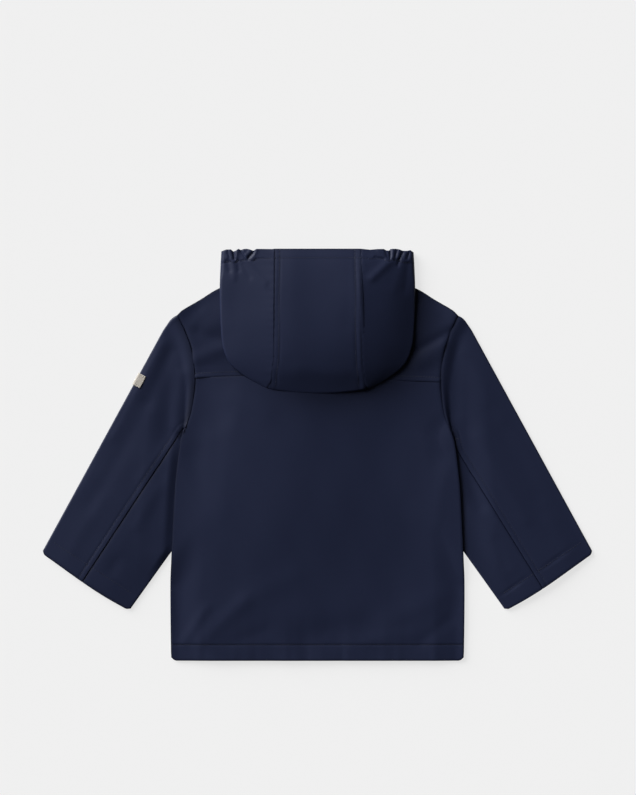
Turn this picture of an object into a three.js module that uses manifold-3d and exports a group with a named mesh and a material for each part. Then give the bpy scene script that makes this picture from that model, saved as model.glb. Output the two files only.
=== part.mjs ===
// A child's raincoat of coated cloth, laid out flat with its back up and its hood folded down on the back.
// Millimetres. X runs across the coat, Y up it from hem to hood, Z up from the surface that it lies on.
// The coat is the same on both sides, so every table gives one half and `side` (-1 or 1) places it.

import * as THREE from 'three';
import Module from 'manifold-3d';
import { mergeVertices } from 'three/addons/utils/BufferGeometryUtils.js';

const wasm = await Module();
wasm.setup();

const wall = 1;          // coated cloth, turned edges included
const seamGap = 0.3;     // between pieces that are sewn together or lie on each other
const half = wall / 2;   // every surface below is the middle of its cloth

const hemY = -237.5;
const yokeSeamY = 88.3;
const mouthY = 237.5;    // the hood's face opening
const frontOverlap = 15; // how far each front passes the centre line
const studRadius = 6;
const studHeight = 0.9;
const studCount = 5;
const studTopY = 128;
const studPitch = 82;

const neckPoint = { x: 68.7, y: 210 };      // where the shoulder seam meets the neckline
const shoulderTip = { x: 162.3, y: 161 };
const underarm = { x: 157.7, y: 21.9 };
const backNeckY = 193;
const sideNeckY = 199.5; // the back neckline where the hood's seams meet it
const frontNeckY = 150;

const lobeLift = 3.7;    // how far a front rises over the sleeve tucked below it
const lobeReach = 14;    // and how far from the sleeve it starts to rise
const bodyCrown = 2.9;   // extra height of the back over the fronts, away from their seams
const crownReach = 35;

const navy = 0x1f2437;
const navyLight = 0x282d41;

const shoulderLine = [
  { x: shoulderTip.x, y: shoulderTip.y },
  { x: 155.4, y: 167.5 },
  { x: 135.7, y: 179 },
  { x: 112.6, y: 192.9 },
  { x: neckPoint.x, y: neckPoint.y },
];

const armholeLine = [
  { x: shoulderTip.x, y: shoulderTip.y },
  { x: 152.8, y: 140.3 },
  { x: 146, y: 119.5 },
  { x: 142.6, y: yokeSeamY },
  { x: 146.1, y: 56.6 },
  { x: 150.8, y: 39.2 },
  { x: underarm.x, y: underarm.y },
];

const sideLine = [
  { x: 165, y: hemY },
  { x: 168.9, y: -234 },
  { x: 169.8, y: -156 },
  { x: 168.7, y: -121 },
  { x: 165.5, y: -52 },
  { x: 162.6, y: -17 },
  { x: underarm.x, y: underarm.y },
];

const hoodOutline = [
  { x: 110.5, y: mouthY },
  { x: 112, y: 190 },
  { x: 110.8, y: 150 },
  { x: 108, y: 124 },
  { x: 100, y: 105.5 },
  { x: 85, y: 92 },
  { x: 66, y: 80.5 },
  { x: 56, y: 76 },
];

// The inner fold of a sleeve: beside the body to start with, then below it, then out to the cuff.
const innerFold = [
  { x: underarm.x, y: underarm.y },
  { x: 162.6, y: -4 },
  { x: 150, y: -35 },
  { x: 139.5, y: -62 },
  { x: 144, y: -78 },
  { x: 170.4, y: -114 },
  { x: 216.1, y: -177.9 },
];

const sleeveOuterFold = [
  { x: shoulderTip.x, y: shoulderTip.y },
  { x: 168.8, y: 155.9 },
  { x: 177, y: 144 },
  { x: 316.6, y: -112 },
];

const point = (place) => new THREE.Vector2(place.x, place.y);
const mix = THREE.MathUtils.lerp;
const ease = THREE.MathUtils.smoothstep;
const mirrored = (place, side) => new THREE.Vector2(place.x * side, place.y);

// A smooth line through a table's rows, as a function of the share of its length.
function curveThrough(rows) {
  const curve = new THREE.SplineCurve(rows.map(point));
  return (share) => curve.getPointAt(THREE.MathUtils.clamp(share, 0, 1));
}

// A line of straight stretches through a table's rows.
function brokenLine(rows) {
  const path = new THREE.CurvePath();
  for (let i = 1; i < rows.length; i++) path.add(new THREE.LineCurve(point(rows[i - 1]), point(rows[i])));
  return (share) => path.getPointAt(THREE.MathUtils.clamp(share, 0, 1));
}

const flipped = (edge, side) => (share) => mirrored(edge(share), side);

// Reads a column of a table at a height y, between its rows; the rows run from high y to low.
function readAt(rows, column, y) {
  if (y >= rows[0].y) return rows[0][column];
  for (let i = 1; i < rows.length; i++) {
    if (y >= rows[i].y) {
      const share = (rows[i - 1].y - y) / (rows[i - 1].y - rows[i].y);
      return mix(rows[i - 1][column], rows[i][column], share);
    }
  }
  return rows.at(-1)[column];
}

function distanceToLine(rows, x, y) {
  const place = new THREE.Vector3(x, y, 0);
  const nearest = new THREE.Vector3();
  let least = Infinity;
  for (let i = 1; i < rows.length; i++) {
    const from = new THREE.Vector3(rows[i - 1].x, rows[i - 1].y, 0);
    const to = new THREE.Vector3(rows[i].x, rows[i].y, 0);
    new THREE.Line3(from, to).closestPointToPoint(place, true, nearest);
    least = Math.min(least, nearest.distanceTo(place));
  }
  return least;
}

// The flat shape between four edges: bottom and top run from left to right, left and right run upward.
function patch({ bottom, top, left, right }) {
  return (u, v) => {
    const across = bottom(u).multiplyScalar(1 - v).addScaledVector(top(u), v);
    const along = left(v).multiplyScalar(1 - u).addScaledVector(right(v), u);
    const low = bottom(0).multiplyScalar(1 - u).addScaledVector(bottom(1), u);
    const high = top(0).multiplyScalar(1 - u).addScaledVector(top(1), u);
    return across.add(along).addScaledVector(low, v - 1).addScaledVector(high, -v);
  };
}

// ---- heights of the layers ----

const sideRows = [...sideLine].reverse();
const lobeRows = [
  { y: 62, x: 176 },
  { y: underarm.y, x: 158.2 },
  { y: -4, x: 160.2 },
  { y: -35, x: 149.4 },
  { y: -62, x: 138.6 },
  { y: -78, x: 143.2 },
  { y: -114, x: 169.4 },
  { y: -150, x: 196 },
];

// 1 over the sleeve that is tucked under the body's edge, 0 away from it
function lobe(x, y) {
  const edge = readAt(lobeRows, 'x', y);
  return ease(Math.abs(x), edge - lobeReach, edge - half);
}

const frontRise = (x, y) => lobeLift * lobe(x, y);

// 0 along the side and shoulder seams, where back meets front, and 1 well inside them
function crown(x, y) {
  const across = Math.abs(x);
  const side = readAt(sideRows, 'x', y) - across;
  const fromSide = y < underarm.y ? side : Math.hypot(underarm.x - across, y - underarm.y);
  const fromShoulder = distanceToLine(shoulderLine, across, y);
  return ease(Math.min(fromSide, fromShoulder), 0, crownReach);
}

function backRise(x, y) {
  const over = lobe(x, y);
  return wall + seamGap + lobeLift * over + bodyCrown * crown(x, y) * (1 - over);
}

// ---- cloth from the middle points of its wall ----

function facing(grid, i, j) {
  const across = grid[i][Math.min(j + 1, grid[i].length - 1)].clone().sub(grid[i][Math.max(j - 1, 0)]);
  const along = grid[Math.min(i + 1, grid.length - 1)][j].clone().sub(grid[Math.max(i - 1, 0)][j]);
  return across.cross(along).normalize();
}

function cloth(grid, thickness = wall) {
  const rows = grid.length;
  const columns = grid[0].length;
  const positions = [];
  for (const way of [1, -1]) {
    for (let i = 0; i < rows; i++) {
      for (let j = 0; j < columns; j++) {
        const place = grid[i][j].clone().addScaledVector(facing(grid, i, j), (way * thickness) / 2);
        positions.push(place.x, place.y, place.z);
      }
    }
  }
  const under = rows * columns;
  const at = (i, j) => i * columns + j;
  const faces = [];
  const height = (k) => positions[3 * k + 2];
  // split along the higher diagonal, so that two layers that lie on each other are split alike
  const quad = (a, b, c, d) => {
    if (height(a) + height(c) > height(b) + height(d) + 1e-5) faces.push(a, b, c, a, c, d);
    else faces.push(a, b, d, b, c, d);
  };
  for (let i = 0; i + 1 < rows; i++) {
    for (let j = 0; j + 1 < columns; j++) {
      quad(at(i, j), at(i, j + 1), at(i + 1, j + 1), at(i + 1, j));
      quad(under + at(i, j), under + at(i + 1, j), under + at(i + 1, j + 1), under + at(i, j + 1));
    }
  }
  const rim = [];
  for (let j = 0; j < columns - 1; j++) rim.push(at(0, j));
  for (let i = 0; i < rows - 1; i++) rim.push(at(i, columns - 1));
  for (let j = columns - 1; j > 0; j--) rim.push(at(rows - 1, j));
  for (let i = rows - 1; i > 0; i--) rim.push(at(i, 0));
  rim.forEach((from, k) => {
    const to = rim[(k + 1) % rim.length];
    quad(from, under + from, under + to, to);
  });
  const geometry = new THREE.BufferGeometry();
  geometry.setAttribute('position', new THREE.Float32BufferAttribute(positions, 3));
  geometry.setIndex(faces);
  return outward(geometry);
}

// Turns the faces of a closed geometry outward.
function outward(geometry) {
  const places = geometry.getAttribute('position');
  const index = geometry.getIndex().array;
  const corner = (k) => new THREE.Vector3().fromBufferAttribute(places, index[k]);
  let volume = 0;
  for (let k = 0; k < index.length; k += 3) volume += corner(k).dot(corner(k + 1).cross(corner(k + 2)));
  if (volume < 0) {
    for (let k = 0; k < index.length; k += 3) [index[k], index[k + 1]] = [index[k + 1], index[k]];
  }
  return geometry;
}

function solidOf(geometry) {
  const bare = geometry.clone();
  bare.deleteAttribute('normal');
  bare.deleteAttribute('uv');
  const merged = mergeVertices(bare, 1e-4);
  return new wasm.Manifold(new wasm.Mesh({
    numProp: 3,
    vertProperties: new Float32Array(merged.getAttribute('position').array),
    triVerts: new Uint32Array(merged.getIndex().array),
  }));
}

function joined(first, second) {
  const mesh = solidOf(first).add(solidOf(second)).getMesh();
  const geometry = new THREE.BufferGeometry();
  geometry.setAttribute('position', new THREE.BufferAttribute(new Float32Array(mesh.vertProperties), 3));
  geometry.setIndex(Array.from(mesh.triVerts));
  return geometry;
}

// A single layer: a flat shape, each point raised by rise(x, y) from the surface below.
function layer(shape, columns, rows, rise) {
  const grid = [];
  for (let i = 0; i <= rows; i++) {
    grid.push([]);
    for (let j = 0; j <= columns; j++) {
      const place = shape(j / columns, i / rows);
      grid[i].push(new THREE.Vector3(place.x, place.y, rise(place.x, place.y) + half));
    }
  }
  return cloth(grid);
}

// Stations from one share to another, both ends included.
const spread = (from, to, steps) => Array.from({ length: steps + 1 }, (_, k) => mix(from, to, k / steps));

// Round a fold from the upper layer (lift 1) to the lower (lift 0); `in` is how far inside the fold line.
function roundFold(radius, steps) {
  return spread(0, Math.PI, steps).map((turn) => ({
    in: radius * (1 - Math.sin(turn)),
    lift: (1 + Math.cos(turn)) / 2,
  }));
}

// ---- the body ----

const sideEdge = curveThrough(sideLine);
const armhole = curveThrough(armholeLine);
const shoulder = curveThrough(shoulderLine);
const shares = (steps) => spread(0, 1, steps);
// the share of the armhole's length that the yoke takes
const yokeShare = shares(400).reduce((best, share) =>
  Math.abs(armhole(share).y - yokeSeamY) < Math.abs(armhole(best).y - yokeSeamY) ? share : best, 0);
const edgeRows = [...shares(60).map((share) => armhole(mix(yokeShare, 1, share))), ...shares(60).map(
  (share) => sideEdge(1 - share))];

// Columns from an edge toward the middle, as shares of the half width; all of these meet the shoulder seam.
const columnShares = [1, 0.955, 0.905, 0.85, 0.78, 0.68, 0.55, 0.42];
const neckShare = columnShares.at(-1);
const innerShares = [0.2];
const overlapColumns = [50, 39, 28, 17, 0, -frontOverlap];
const lowerRows = [hemY, -234, -180, -132, -112, -95, -78, -62, -40, -20, -4, 9, underarm.y,
  36, 52, 70, yokeSeamY];
const upperRows = 5;

// the half width at height y, eased in a little where side seam, armhole and sleeve seam meet
const underarmEase = (y) => 0.9 * Math.exp(-(((y - underarm.y) / 9) ** 2));
const edgeAt = (y) => readAt(edgeRows, 'x', y) - underarmEase(y) - (y > underarm.y ? seamGap : 0);
const yokeEdge = (v) => armhole(yokeShare * (1 - v)).sub(new THREE.Vector2(seamGap, 0));

// Above the yoke seam: between that seam and the shoulder seam and neckline, at share c across and v upward.
function upperPlace(c, v, x, neckline) {
  const corner = yokeEdge(0);
  const onSeam = new THREE.Vector2(x, yokeSeamY);
  const alongShoulder = (1 - Math.abs(c)) / (1 - neckShare);
  const top = Math.abs(c) >= neckShare ? mirrored(shoulder(alongShoulder), Math.sign(c)) : neckline(c);
  const bow = yokeEdge(v).sub(corner.clone().lerp(yokeEdge(1), v));
  return onSeam.lerp(top, v).add(new THREE.Vector2(bow.x * c, bow.y * Math.abs(c)));
}

function backPanel() {
  const across = [...columnShares, ...innerShares, 0].reverse();
  const columns = [...across.slice(1).reverse().map((c) => -c), ...across];
  return cloth(lowerRows.map((y) => columns.map((c) => {
    const x = c * edgeAt(y);
    return new THREE.Vector3(x, y, backRise(x, y) + half);
  })));
}

function backYoke() {
  const neckline = curveThrough([
    { x: neckPoint.x, y: neckPoint.y }, { x: 42, y: 197.5 }, { x: 0, y: backNeckY },
    { x: -42, y: 197.5 }, { x: -neckPoint.x, y: neckPoint.y },
  ]);
  const across = [...columnShares, ...innerShares, 0].reverse();
  const columns = [...across.slice(1).reverse().map((c) => -c), ...across];
  return cloth(shares(upperRows).map((v) => columns.map((c) => {
    const place = upperPlace(c, v, c * yokeEdge(0).x, (share) => neckline((1 - share / neckShare) / 2));
    const y = place.y + seamGap * (1 - v);
    return new THREE.Vector3(place.x, y, backRise(place.x, y) + half);
  })));
}

// A front, from its side and armhole to a little past the centre line. `rest` is its height at the overlap.
function front(side, rest) {
  const neckline = curveThrough([
    { x: neckPoint.x, y: neckPoint.y }, { x: 57.5, y: 184 }, { x: 35, y: 161 }, { x: 0, y: frontNeckY },
    { x: -frontOverlap, y: frontNeckY + 1.5 },
  ]);
  const placed = ({ x, y }) => {
    const overlap = 1 - ease(x, overlapColumns[3], overlapColumns[1]);
    return new THREE.Vector3(x * side, y, frontRise(x, y) + rest * overlap + half);
  };
  const lower = lowerRows.slice(0, -1).map((y) => [
    ...columnShares.map((c) => placed({ x: c * edgeAt(y), y })),
    ...overlapColumns.map((x) => placed({ x, y })),
  ]);
  const upper = shares(upperRows).map((v) => [
    ...columnShares.map((c) => placed(upperPlace(c, v, c * yokeEdge(0).x, neckline))),
    ...overlapColumns.map((x, k) => {
      const onNeck = neckline((k + 1) / overlapColumns.length);
      return placed(new THREE.Vector2(x, yokeSeamY).lerp(onNeck, v));
    }),
  ]);
  return cloth([...lower, ...upper]);
}

function studCap() {
  const profile = [
    new THREE.Vector2(0, 0),
    new THREE.Vector2(studRadius - 0.4, 0),
    new THREE.Vector2(studRadius, studHeight),
    new THREE.Vector2(0, studHeight),
  ];
  const geometry = new THREE.LatheGeometry(profile, 12);
  return geometry.rotateX(Math.PI / 2);
}

// ---- the sleeves ----

const sleeveFoldRise = 2;     // between the two layers' middles along a fold
const sleeveCrownRise = 2.3;  // and that much more midway
const sleeveStart = 18;       // over this length a sleeve takes the body's height to its own
const labelPlace = 0.277;     // along the outer fold
const labelWidth = 15;
const labelOnTop = 10;
const labelRoom = 0.2;
const sleeveRows = [0, 0.03, 0.065, 0.105, 0.17, 0.25, 0.34, 0.45, 0.6, 0.8, 1];

const outerEdge = brokenLine(sleeveOuterFold);
const innerEdge = curveThrough(innerFold);

// A point at share a of the width, from the outer fold, and share t of the length, from the armhole.
function sleevePlan(a, t) {
  const bow = armhole(a).sub(armhole(0).lerp(armhole(1), a));
  const clear = new THREE.Vector2(2 * seamGap, 0);
  return outerEdge(t).lerp(innerEdge(t), a).addScaledVector(bow, (1 - t) ** 4).add(clear);
}

function sleeveRise(a, t) {
  const place = sleevePlan(a, t);
  const clear = ease(place.x - readAt(sideRows, 'x', place.y), 12, 40);
  const own = sleeveFoldRise + sleeveCrownRise * Math.sin(Math.PI * a) * clear;
  const root = sleevePlan(a, 0);
  return mix(backRise(root.x, root.y), own, ease(root.distanceTo(place), 0, sleeveStart));
}

// The way round a sleeve at t: from its seam, round the outer fold, below, round the inner fold and back.
function sleeveRing(t, seamAtCuff) {
  const width = sleevePlan(0, t).distanceTo(sleevePlan(1, t));
  const seam = mix(0.93, seamAtCuff, t);
  const slit = seamGap / 2 / width;
  const outer = roundFold(sleeveRise(0, t) / 2, 4).map(({ in: d, lift }) => ({ a: d / width, lift }));
  const inner = roundFold(sleeveRise(1, t) / 2, 4).map(({ in: d, lift }) => ({ a: 1 - d / width, lift }));
  const flat = (from, to, steps, lift) => spread(from, to, steps).slice(1, -1).map((a) => ({ a, lift }));
  return [
    { a: seam - slit, lift: 1 },
    ...flat(seam - slit, outer[0].a, 8, 1),
    ...outer,
    ...flat(outer.at(-1).a, inner.at(-1).a, 9, 0),
    ...inner.reverse(),
    ...flat(inner.at(-1).a, seam + slit, 3, 1),
    { a: seam + slit, lift: 1 },
  ];
}

function sleevePoint(side, t, { a, lift }) {
  const place = sleevePlan(a, t);
  return new THREE.Vector3(place.x * side, place.y, half + lift * sleeveRise(a, t));
}

function sleeve(side, seamAtCuff) {
  const ring = (t) => sleeveRing(t, seamAtCuff).map((station) => sleevePoint(side, t, station));
  return cloth(sleeveRows.map(ring));
}

// A woven tab over the outer fold of the left sleeve, square to that fold.
function sleeveLabel() {
  const middle = outerEdge(labelPlace);
  const along = outerEdge(1).sub(outerEdge(labelPlace)).normalize();
  const inward = new THREE.Vector2(-along.y, along.x).multiplyScalar(Math.sign(along.y));
  const reach = wall + seamGap;
  const rise = sleeveRise(0, labelPlace);
  const fold = roundFold(rise / 2, 6).slice(0, 5);
  const flat = spread(labelOnTop, fold[0].in, 4).slice(0, -1).map((d) => ({ in: d, lift: 1 }));
  const stations = [...flat, ...fold];
  const grid = spread(-labelWidth / 2, labelWidth / 2, 2).map((shift) => stations.map(({ in: d, lift }) => {
    const place = middle.clone().addScaledVector(along, shift).addScaledVector(inward, d);
    const onSleeve = sleeveRise(Math.min(d / 130, 1), labelPlace);
    return new THREE.Vector3(-place.x - 2 * seamGap, place.y, half + lift * (onSleeve + labelRoom));
  }));
  const upward = Math.sign(facing(grid, 0, 0).z);
  return cloth(grid.map((row, i) => row.map((place, j) =>
    place.clone().addScaledVector(facing(grid, i, j), reach * upward))));
}

// ---- the hood ----

const hoodSeam = [{ x: 50.5, y: mouthY }, { x: 55.6, y: 76 }];
const hoodCrownY = { middle: 71, side: 76 };
const hoodHeights = [ // in the middle of the coat, and how much lower the hood is at its sides
  { y: mouthY, z: 12.8, drop: 5.5 },
  { y: 205, z: 18.5, drop: 9 },
  { y: 175, z: 21.5, drop: 11 },
  { y: 150, z: 22.5, drop: 11.5 },
  { y: 120, z: 21, drop: 10 },
  { y: 95, z: 17, drop: 6 },
  { y: 71, z: 12.5, drop: 1.5 },
];
const hoodDrop = 18;     // over this distance past the shoulder seam the lower layer drops to the surface
const hoodArc = 6;       // stations round a fold

// Above the body: on the back yoke, and beyond the shoulder seam and the neckline down on the surface.
function hoodFloor(x, y) {
  const across = Math.abs(x);
  const outline = [...shoulderLine, { x: 42, y: 197.5 }, { x: 0, y: backNeckY }];
  const rows = outline.map((row) => ({ x: row.x, y: row.y })).sort((p, q) => q.x - p.x);
  let edgeY = rows[0].y;
  for (let i = 1; i < rows.length; i++) {
    if (across <= rows[i - 1].x && across >= rows[i].x) {
      edgeY = mix(rows[i - 1].y, rows[i].y, (rows[i - 1].x - across) / (rows[i - 1].x - rows[i].x));
    }
  }
  const past = y < edgeY ? 0 : distanceToLine(rows, across, y);
  const onYoke = backRise(x, y) + wall + 1.4 * seamGap;
  const overSeam = 0.8 * (1 - ease(distanceToLine(rows, across, y), hoodDrop / 2, hoodDrop));
  return (onYoke + overSeam) * (1 - ease(past, hoodDrop / 3, hoodDrop));
}

// The height of the upper layer's middle, a little lower toward the sides.
function hoodTop(x, y) {
  const lowered = Math.min(1, (Math.abs(x) / 112) ** 2);
  return readAt(hoodHeights, 'z', y) - lowered * readAt(hoodHeights, 'drop', y);
}

// A folded sheet: each row goes from `top` to `fold` and on to `below` underneath, all functions of a share.
function foldedSheet({ top, fold, below, rows, upper, lower }) {
  return cloth(rows.map((share) => {
    const bend = fold(share);
    const height = (place, lift) => mix(hoodFloor(place.x, place.y) + half, hoodTop(place.x, place.y), lift);
    const radius = (height(bend, 1) - height(bend, 0)) / 2;
    const toward = (end, distance) => bend.clone().lerp(end, distance / bend.distanceTo(end));
    const raise = (place, lift) => new THREE.Vector3(place.x, place.y, height(place, lift));
    const start = top(share);
    const finish = below(share);
    const arc = roundFold(radius, hoodArc);
    return [
      ...spread(start.distanceTo(bend), radius, upper).slice(0, -1).map((d) => raise(toward(start, d), 1)),
      ...arc.map(({ in: d, lift }) => raise(toward(lift > 0.5 ? start : finish, d), lift)),
      ...spread(radius, finish.distanceTo(bend), lower).slice(1).map((d) => raise(toward(finish, d), 0)),
    ];
  }));
}

// A seam between the middle and a side: above it starts at the mouth, below it at the neck.
function seamFrom(startY, y) {
  const [start, end] = hoodSeam;
  return new THREE.Vector2(mix(start.x, end.x, (startY - y) / (startY - end.y)), y);
}
const seamEnd = 86;      // a hood side's seam with the middle piece stops short of the fold at the crown
const outlineOfHood = curveThrough(hoodOutline);
const crownFold = (x) => mix(hoodCrownY.middle, hoodCrownY.side, (Math.abs(x) / hoodSeam[1].x) ** 2);
const backNeck = (x) => mix(backNeckY, sideNeckY, (Math.abs(x) / hoodSeam[0].x) ** 2);

function hoodCenter() {
  const place = (share, x, y) => new THREE.Vector2(mix(-x, x, share), y);
  const x = (share, reach) => mix(-reach, reach, share);
  return foldedSheet({
    top: (share) => place(share, hoodSeam[0].x, mouthY),
    fold: (share) => place(share, hoodSeam[1].x, crownFold(x(share, hoodSeam[1].x))),
    below: (share) => place(share, hoodSeam[0].x, backNeck(x(share, hoodSeam[0].x))),
    rows: spread(0, 1, 8),
    upper: 9,
    lower: 7,
  });
}

// The strip of a hood side that runs below the coat, from the shoulder to the middle of the front neckline.
function frontStrip(side) {
  const lower = curveThrough([
    { x: 100, y: 200.5 }, { x: 69.5, y: 213 }, { x: 56, y: 187 }, { x: 34, y: 163.2 },
    { x: seamGap, y: frontNeckY + 1.2 },
  ]);
  const upper = curveThrough([
    { x: 100, y: 232 }, { x: 78, y: 219.5 }, { x: 60, y: 202 }, { x: 34, y: 181 }, { x: seamGap, y: 169 },
  ]);
  const shape = patch({
    bottom: flipped(lower, side),
    top: flipped(upper, side),
    left: brokenLine([mirrored(lower(0), side), mirrored(upper(0), side)]),
    right: brokenLine([mirrored(lower(1), side), mirrored(upper(1), side)]),
  });
  return layer(shape, 10, 1, () => 0);
}

function hoodSide(side) {
  const clear = new THREE.Vector2(seamGap, 0);
  const below = brokenLine([
    { x: 98, y: mouthY - 2 }, { x: 80, y: 221 }, { x: 62, y: 207 },
    ...[197, 160, 120, seamEnd].map((y) => seamFrom(sideNeckY, y)),
  ]);
  const wrapped = foldedSheet({
    top: (share) => mirrored(seamFrom(mouthY, mix(mouthY, seamEnd, share)).add(clear), side),
    fold: (share) => mirrored(outlineOfHood(share).add(clear), side),
    below: (share) => mirrored(below(share).add(clear), side),
    rows: [0, 0.1, 0.22, 0.36, 0.5, 0.62, 0.73, 0.83, 0.92, 1],
    upper: 4,
    lower: 8,
  });
  return joined(wrapped, frontStrip(side));
}

// ---- the coat ----

const finishes = {
  body: new THREE.MeshStandardMaterial({ color: navy, roughness: 0.55, metalness: 0 }),
  hood: new THREE.MeshStandardMaterial({ color: navyLight, roughness: 0.55, metalness: 0 }),
  stud: new THREE.MeshStandardMaterial({ color: 0x1a1e2c, roughness: 0.4, metalness: 0 }),
  label: new THREE.MeshStandardMaterial({ color: 0x8b8578, roughness: 0.9, metalness: 0 }),
};

const coat = new THREE.Group();

function add(name, geometry, finish, y = 0) {
  const mesh = new THREE.Mesh(geometry, finish.clone());
  mesh.name = name;
  mesh.position.set(0, y, 0);
  coat.add(mesh);
}

add('back_panel', backPanel(), finishes.body);
add('back_yoke', backYoke(), finishes.body);
add('front_left', front(-1, studHeight + seamGap), finishes.body);
add('front_right', front(1, studHeight + wall + 2.5 * seamGap), finishes.body);
add('sleeve_left', sleeve(-1, 0.47), finishes.body);
add('sleeve_right', sleeve(1, 0.58), finishes.body);
add('sleeve_label', sleeveLabel(), finishes.label);
add('hood_center', hoodCenter(), finishes.hood);
add('hood_side_left', hoodSide(-1), finishes.hood);
add('hood_side_right', hoodSide(1), finishes.hood);
for (let i = 0; i < studCount; i++) {
  add(`stud_cap_${i + 1}`, studCap(), finishes.stud, studTopY - i * studPitch);
}

export default coat;
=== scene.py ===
# A child's hooded raincoat in navy coated cloth, laid out with its back up and its hood folded down on it.
# Sizes in the dictionaries are millimetres, as a pattern cutter writes them; mm turns them into metres.
import math

import bpy
import numpy as np
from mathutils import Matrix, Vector
from mathutils.bvhtree import BVHTree


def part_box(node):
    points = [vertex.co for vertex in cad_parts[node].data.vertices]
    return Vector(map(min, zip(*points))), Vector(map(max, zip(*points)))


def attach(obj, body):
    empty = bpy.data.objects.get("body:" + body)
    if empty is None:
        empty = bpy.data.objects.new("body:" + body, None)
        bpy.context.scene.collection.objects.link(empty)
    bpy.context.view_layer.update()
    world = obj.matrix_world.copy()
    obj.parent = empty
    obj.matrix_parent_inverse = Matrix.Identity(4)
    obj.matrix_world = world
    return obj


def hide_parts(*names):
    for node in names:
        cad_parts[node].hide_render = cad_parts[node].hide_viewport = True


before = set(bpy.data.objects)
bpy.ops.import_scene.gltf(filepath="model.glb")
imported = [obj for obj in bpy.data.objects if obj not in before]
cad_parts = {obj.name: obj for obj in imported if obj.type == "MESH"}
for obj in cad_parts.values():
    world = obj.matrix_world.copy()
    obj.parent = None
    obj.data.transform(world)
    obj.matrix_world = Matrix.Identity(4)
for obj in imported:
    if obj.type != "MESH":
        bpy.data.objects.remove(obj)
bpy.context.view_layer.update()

mm = 0.001


def boxOf(node):
    low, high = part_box(node)
    return [v / mm for v in low], [v / mm for v in high]


backLow, backHigh = boxOf("back_panel")
yokeLow, yokeHigh = boxOf("back_yoke")
sleeveLow, sleeveHigh = boxOf("sleeve_right")
hoodLow, hoodHigh = boxOf("hood_center")
hoodSideLow, hoodSideHigh = boxOf("hood_side_right")
lobeHigh = boxOf("front_right")[1][2]

cloth = {
    "wall": 1.0,
    "gap": 0.3,
    "step": 2.6,        # size of the mesh squares on what shows
    "plainStep": 5.5,   # and on what lies below
    "rimSteps": 4,
    "paintedShade": 0.3,       # how strong the painted shade is on the row beside a cloth's rolled edge
}

body = {
    "hemY": backLow[1] + 0.1,
    "seamY": backHigh[1],
    "lobeLift": lobeHigh - cloth["wall"],
    "lobeReach": 44,
    "crown": 2.9,
    "crownReach": 38,
    "shoulder": [(yokeHigh[0], 161), (155.4, 167.5), (135.7, 179), (112.6, 192.9), (68.7, yokeHigh[1])],
    "armhole": [(yokeHigh[0], 161), (152.8, 140.3), (146, 119.5), (142.6, backHigh[1]), (146.1, 56.6),
                (150.8, 39.2), (157.7, 21.9)],
    "side": [(164.6, backLow[1] + 0.1), (167.4, backLow[1] + 0.9), (168.9, backLow[1] + 3.4),
             (backHigh[0], -156), (168.7, -121), (165.5, -52), (162.6, -17), (157.7, 21.9)],
    "backNeck": 193,
    "frontNeck": 150,
    "overlap": 15,
}

sleeveCut = {
    "outer": [(yokeHigh[0], 161), (168.8, 155.9), (177, 144), (sleeveHigh[0] - 0.9, -112)],
    "inner": [(156.3, 21.9), (158.6, -4), (148.5, -35), (139.5, -62), (144, -78), (170.4, -114), (216.1, -177.9)],
    "lobe": [(176, 62), (158.2, 21.9), (160.2, -4), (149.4, -35), (138.6, -62), (143.2, -78), (169.4, -114),
             (196, -150)],
    "foldRise": 2.0,
    "crownRise": 2.3,
    "start": 18,
    "seam": {-1: [(154.8, 31.2), (270.9, -145.5)], 1: [(156.5, 26), (161.1, 5.8), (260.4, -154.8)]},
    "tuck": 1.6,
    "cuffHem": 16.5,
    "topstitch": 6.3,
}

hood = {
    "mouthY": hoodHigh[1],
    "crownY": (hoodLow[1] + 0.5, 76),      # in the middle and where the seams cross the fold
    "seam": [(50.5, hoodHigh[1]), (51.3, 113), (55.6, 76)],
    "outline": [(110.2, hoodHigh[1]), (112, 190), (110.8, 150), (108, 124), (100, 105.5), (85, 92), (66, 80.5),
                (56, 76)],
    "casing": 10.5,
    "sideNeck": 199.5,
    "drop": 18,
    "topstitch": 6.6,
}


# ---- lines and heights ----

def smoothLine(rows, count=160):
    # an even walk along a smooth line through the rows
    rows = np.array(rows, float)
    last = len(rows) - 1
    out = []
    for t in np.linspace(0, last, 40 * last + 1):
        i = min(int(t), last - 1)
        f = t - i
        a, b, c, d = rows[max(i - 1, 0)], rows[i], rows[i + 1], rows[min(i + 2, last)]
        out.append(0.5 * (2 * b + (c - a) * f + (2 * a - 5 * b + 4 * c - d) * f**2
                          + (3 * b - 3 * c + d - a) * f**3))
    return evenly(out, count)


def evenly(points, count):
    points = np.array(points, float)
    steps = np.linalg.norm(np.diff(points, axis=0), axis=1)
    walk = np.concatenate([[0], np.cumsum(steps)])
    at = np.linspace(0, walk[-1], count)
    return np.stack([np.interp(at, walk, points[:, k]) for k in range(points.shape[1])], axis=1)


def along(line, share):
    at = np.clip(share, 0, 1) * (len(line) - 1)
    return np.stack([np.interp(at, np.arange(len(line)), line[:, k]) for k in range(line.shape[1])], axis=-1)


def readAt(rows, y):
    # the first column of rows at a height y; the rows run from high y to low
    rows = np.array(rows)[::-1]
    return np.interp(y, rows[:, 1], rows[:, 0])


def ease(value, low, high):
    t = np.clip((value - low) / (high - low), 0, 1)
    return t * t * (3 - 2 * t)


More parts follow.
